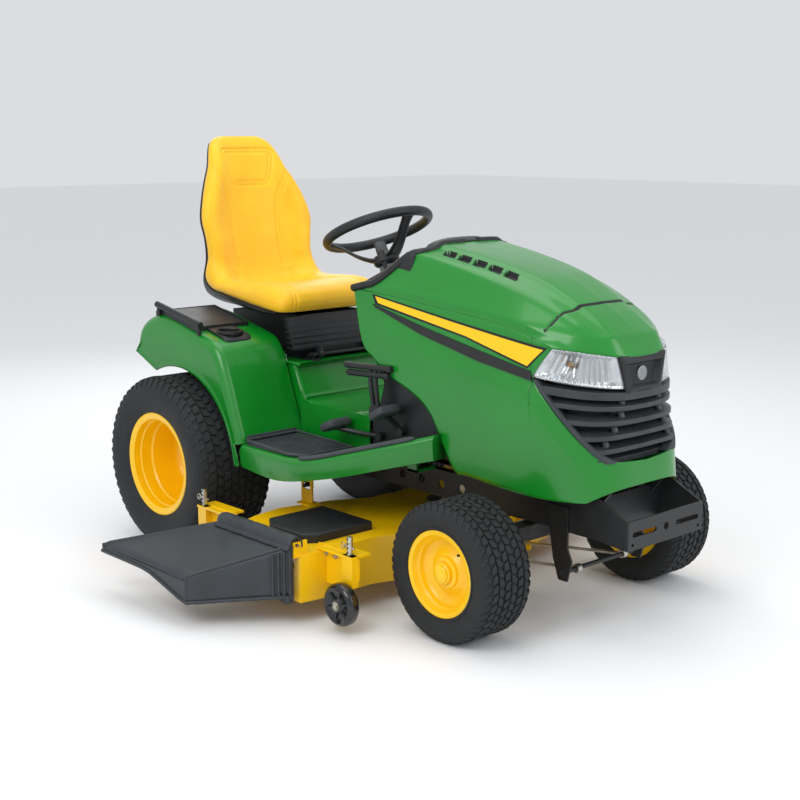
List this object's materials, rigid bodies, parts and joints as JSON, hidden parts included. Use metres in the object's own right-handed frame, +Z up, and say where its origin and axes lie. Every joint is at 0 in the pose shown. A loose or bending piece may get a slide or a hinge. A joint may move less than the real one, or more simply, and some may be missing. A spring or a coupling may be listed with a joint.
{
  "type": "riding lawn mower",
  "caption": "Riding garden tractor with tilting hood, sliding tilting seat, steered front wheels and a lifting mid-mounted mower deck with a side discharge chute.",
  "frame": {"origin": "middle of the machine's box, on the ground", "axes": "+X forward, +Y to the driver's left, +Z up"},
  "size_m": [2.086, 1.637, 1.4079],
  "materials": {
    "green_moulding": "glossy moulded-in green",
    "yellow_enamel": "glossy yellow enamel over pressed steel",
    "yellow_vinyl": "semi-matt vinyl seat cover",
    "black_plastic": "textured black moulding",
    "black_steel": "satin black powder coat",
    "tyre_rubber": "matt rubber",
    "mat_rubber": "ribbed rubber",
    "clear_lens": "clear polycarbonate",
    "cast_aluminium": "as-cast aluminium",
    "cast_iron": "painted cast iron",
    "plated_steel": "zinc plated steel",
    "grey_polymer": "charcoal moulded polymer"
  },
  "bodies": {
    "chassis": {"frame_rails": "black_steel", "front_bracket": "black_steel", "draft_brackets": "black_steel", "hitch_plate": "black_steel", "transaxle": "cast_aluminium", "engine_block": "cast_aluminium", "blower_housing": "black_plastic", "muffler": "plated_steel", "fuel_tank": "black_plastic", "battery": "black_plastic", "fender_deck": "green_moulding", "footboards": "green_moulding", "foot_mats": "mat_rubber", "fender_trays": "black_plastic", "seat_rails": "black_steel", "dash_console": "black_plastic", "steering_column": "black_plastic"},
    "axle": {"front_axle": "cast_iron"},
    "knuckle_right": {"spindle_right": "plated_steel"},
    "knuckle_left": {"spindle_left": "plated_steel"},
    "tie_rod": {"tie_rod": "plated_steel"},
    "front_wheel_right": {"front_tyre_right": "tyre_rubber", "front_rim_right": "yellow_enamel"},
    "front_wheel_left": {"front_tyre_left": "tyre_rubber", "front_rim_left": "yellow_enamel"},
    "rear_wheel_right": {"rear_tyre_right": "tyre_rubber", "rear_rim_right": "yellow_enamel"},
    "rear_wheel_left": {"rear_tyre_left": "tyre_rubber", "rear_rim_left": "yellow_enamel"},
    "seat_slider": {"seat_carriage": "black_steel"},
    "seat": {"seat_suspension": "black_plastic", "seat_shell": "black_plastic", "seat_cushion": "yellow_vinyl"},
    "steering_wheel": {"steering_wheel": "black_plastic"},
    "hood": {"hood_top": "green_moulding", "hood_side_panels": "green_moulding", "grille": "black_plastic", "headlights": "clear_lens", "hood_trim": "black_plastic"},
    "pedal_forward": {"pedal_forward": "mat_rubber"},
    "pedal_reverse": {"pedal_reverse": "mat_rubber"},
    "pedal_brake": {"pedal_brake": "mat_rubber"},
    "side_lever": {"side_lever": "black_plastic"},
    "throttle_lever": {"throttle_lever": "black_plastic"},
    "pto_knob": {"pto_knob": "black_plastic"},
    "fuel_cap": {"fuel_cap": "black_plastic"},
    "deck": {"deck_shell": "yellow_enamel", "belt_covers": "black_plastic", "gauge_wheel_brackets": "yellow_enamel"},
    "blade_centre": {"blade_spindle_centre": "plated_steel"},
    "blade_left": {"blade_spindle_left": "plated_steel"},
    "blade_right": {"blade_spindle_right": "plated_steel"},
    "gauge_front_right": {"gauge_wheel_front_right": "grey_polymer"},
    "gauge_front_left": {"gauge_wheel_front_left": "grey_polymer"},
    "gauge_rear_right": {"gauge_wheel_rear_right": "grey_polymer"},
    "gauge_rear_left": {"gauge_wheel_rear_left": "grey_polymer"},
    "chute": {"discharge_chute": "grey_polymer"},
    "lift_arms": {"lift_arms": "black_steel"},
    "draft_rods": {"draft_rods": "plated_steel"},
    "crank_pulley": {"crank_pulley": "plated_steel"}
  },
  "joints": [
    {"name": "axle_pivot", "type": "hinge", "parent": "chassis", "child": "axle", "pos_m": [0.642, 0.1465, 0.262], "axis": [1, 0, 0], "range_deg": [-5, 5]},
    {"name": "steer_right", "type": "hinge", "parent": "axle", "child": "knuckle_right", "pos_m": [0.642, -0.1585, 0.203], "axis": [0, 0, 1], "range_deg": [-30, 30]},
    {"name": "steer_left", "type": "hinge", "parent": "axle", "child": "knuckle_left", "pos_m": [0.642, 0.4515, 0.203], "axis": [0, 0, 1], "range_deg": [-31, 31]},
    {"name": "tie_rod_pivot", "type": "hinge", "parent": "knuckle_right", "child": "tie_rod", "pos_m": [0.537, -0.1585, 0.245], "axis": [0, 0, 1], "range_deg": [-31, 31]},
    {"name": "steering_turn", "type": "hinge", "parent": "chassis", "child": "steering_wheel", "pos_m": [-0.182, 0.1465, 1.099], "axis": [-0.4019, 0, 0.9157], "range_deg": [-460, 460]},
    {"name": "front_wheel_right_spin", "type": "hinge", "parent": "knuckle_right", "child": "front_wheel_right", "pos_m": [0.642, -0.2735, 0.203], "axis": [0, 1, 0], "continuous": true},
    {"name": "front_wheel_left_spin", "type": "hinge", "parent": "knuckle_left", "child": "front_wheel_left", "pos_m": [0.642, 0.5665, 0.203], "axis": [0, 1, 0], "continuous": true},
    {"name": "rear_wheel_right_spin", "type": "hinge", "parent": "chassis", "child": "rear_wheel_right", "pos_m": [-0.668, -0.3085, 0.3], "axis": [0, 1, 0], "continuous": true},
    {"name": "rear_wheel_left_spin", "type": "hinge", "parent": "chassis", "child": "rear_wheel_left", "pos_m": [-0.668, 0.6015, 0.3], "axis": [0, 1, 0], "continuous": true},
    {"name": "seat_slide", "type": "slide", "parent": "chassis", "child": "seat_slider", "axis": [1, 0, 0], "range_m": [-0.05, 0.05]},
    {"name": "seat_tilt", "type": "hinge", "parent": "seat_slider", "child": "seat", "pos_m": [-0.358, 0.1465, 0.668], "axis": [0, 1, 0], "range_deg": [0, 28]},
    {"name": "hood_hinge", "type": "hinge", "parent": "chassis", "child": "hood", "pos_m": [0.932, 0.1465, 0.44], "axis": [0, 1, 0], "range_deg": [0, 50]},
    {"name": "deck_lift", "type": "slide", "parent": "chassis", "child": "deck", "axis": [0, 0, 1], "range_m": [0, 0.07]},
    {"name": "lift_arm_turn", "type": "hinge", "parent": "chassis", "child": "lift_arms", "pos_m": [-0.268, 0.1465, 0.32], "axis": [0, -1, 0], "range_deg": [-1, 39]},
    {"name": "draft_rod_turn", "type": "hinge", "parent": "chassis", "child": "draft_rods", "pos_m": [0.81, 0.1465, 0.176], "axis": [0, 1, 0], "range_deg": [-1, 10.5]},
    {"name": "chute_hinge", "type": "hinge", "parent": "deck", "child": "chute", "pos_m": [0.082, -0.5655, 0.246], "axis": [-1, 0, 0], "range_deg": [0, 85]},
    {"name": "blade_centre_spin", "type": "hinge", "parent": "deck", "child": "blade_centre", "pos_m": [0.147, 0.1465, 0.095], "axis": [0, 0, 1], "continuous": true},
    {"name": "blade_left_spin", "type": "hinge", "parent": "deck", "child": "blade_left", "pos_m": [0.047, 0.5715, 0.095], "axis": [0, 0, 1], "continuous": true},
    {"name": "blade_right_spin", "type": "hinge", "parent": "deck", "child": "blade_right", "pos_m": [0.047, -0.2785, 0.095], "axis": [0, 0, 1], "continuous": true},
    {"name": "crank_spin", "type": "hinge", "parent": "chassis", "child": "crank_pulley", "pos_m": [0.512, 0.1465, 0.288], "axis": [0, 0, 1], "continuous": true},
    {"name": "gauge_front_right_spin", "type": "hinge", "parent": "deck", "child": "gauge_front_right", "pos_m": [0.394, -0.5035, 0.086], "axis": [0, 1, 0], "continuous": true},
    {"name": "gauge_front_left_spin", "type": "hinge", "parent": "deck", "child": "gauge_front_left", "pos_m": [0.394, 0.7965, 0.086], "axis": [0, 1, 0], "continuous": true},
    {"name": "gauge_rear_right_spin", "type": "hinge", "parent": "deck", "child": "gauge_rear_right", "pos_m": [-0.338, -0.5035, 0.086], "axis": [0, 1, 0], "continuous": true},
    {"name": "gauge_rear_left_spin", "type": "hinge", "parent": "deck", "child": "gauge_rear_left", "pos_m": [-0.338, 0.7965, 0.086], "axis": [0, 1, 0], "continuous": true},
    {"name": "pedal_forward_press", "type": "hinge", "parent": "chassis", "child": "pedal_forward", "pos_m": [0.192, -0.0885, 0.5], "axis": [0, 1, 0], "range_deg": [0, 10], "stiffness_Nm_per_rad": 6, "springref_deg": -17.19},
    {"name": "pedal_reverse_press", "type": "hinge", "parent": "chassis", "child": "pedal_reverse", "pos_m": [0.092, -0.0885, 0.47], "axis": [0, -1, 0], "range_deg": [0, 8], "stiffness_Nm_per_rad": 8, "springref_deg": -17.19},
    {"name": "pedal_brake_press", "type": "hinge", "parent": "chassis", "child": "pedal_brake", "pos_m": [0.132, 0.3815, 0.48], "axis": [0, 1, 0], "range_deg": [0, 12], "stiffness_Nm_per_rad": 8, "springref_deg": -17.19},
    {"name": "side_lever_swing", "type": "hinge", "parent": "chassis", "child": "side_lever", "pos_m": [0.102, -0.1155, 0.556], "axis": [0, 1, 0], "range_deg": [-10, 6]},
    {"name": "throttle_swing", "type": "hinge", "parent": "chassis", "child": "throttle_lever", "pos_m": [0.032, 0.0265, 0.90598], "axis": [0, 1, 0], "range_deg": [-15, 15]},
    {"name": "pto_pull", "type": "slide", "parent": "chassis", "child": "pto_knob", "axis": [-0.4227, 0, 0.9063], "range_m": [0, 0.012]},
    {"name": "fuel_cap_turn", "type": "hinge", "parent": "chassis", "child": "fuel_cap", "pos_m": [-0.728, 0.4585, 0.797], "axis": [0, 0, 1], "range_deg": [0, 90]}
  ],
  "couplings": [
    {"joint": "steer_left", "follows": "steer_right", "ratio": 1},
    {"joint": "tie_rod_pivot", "follows": "steer_right", "ratio": -1},
    {"joint": "steering_turn", "follows": "steer_right", "ratio": 15},
    {"joint": "lift_arm_turn", "follows": "deck_lift", "rad_per_m": 9.387},
    {"joint": "draft_rod_turn", "follows": "deck_lift", "rad_per_m": 2.389},
    {"joint": "blade_left_spin", "follows": "blade_centre_spin", "ratio": 1},
    {"joint": "blade_right_spin", "follows": "blade_centre_spin", "ratio": 1}
  ]
}
